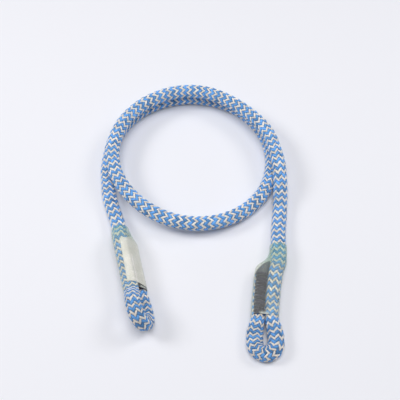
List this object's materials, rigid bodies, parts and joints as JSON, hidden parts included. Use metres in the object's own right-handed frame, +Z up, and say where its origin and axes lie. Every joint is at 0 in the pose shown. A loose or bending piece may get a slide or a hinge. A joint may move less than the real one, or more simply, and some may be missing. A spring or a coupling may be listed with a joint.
{
  "type": "rope lanyard with sewn eyes",
  "caption": "Short dynamic kernmantle rope with a sewn eye at each end, zigzag blue and cream sheath, clear sleeves over the sewing, laid in a loose coil.",
  "frame": {"origin": "on the floor under the centre of the bounding box", "axes": "+Z up from the floor, +Y from the eyes towards the coil, +X to the right seen from above with the eyes nearest"},
  "size_m": [0.1364, 0.2208, 0.0244],
  "materials": {
    "sheath": "braided polyamide yarn, blue and cream",
    "core": "twisted polyamide yarn, undyed",
    "melted_end": "melted yarn",
    "thread": "bonded sewing thread",
    "clear_sleeve": "clear shrink tube",
    "label": "printed film, left bare"
  },
  "bodies": {
    "root": {"sheath_left_eye": "sheath", "sheath_left_leg": "sheath", "sheath_coil": "sheath", "sheath_right_leg": "sheath", "sheath_right_eye": "sheath", "core_strand_1": "core", "core_strand_2": "core", "core_strand_3": "core", "core_strand_4": "core", "core_strand_5": "core", "core_strand_6": "core", "core_strand_7": "core", "tail_seal_left": "melted_end", "tail_seal_right": "melted_end", "stitching_left": "thread", "stitching_right": "thread", "sleeve_left": "clear_sleeve", "sleeve_right": "clear_sleeve", "label_left": "label"}
  },
  "joints": []
}
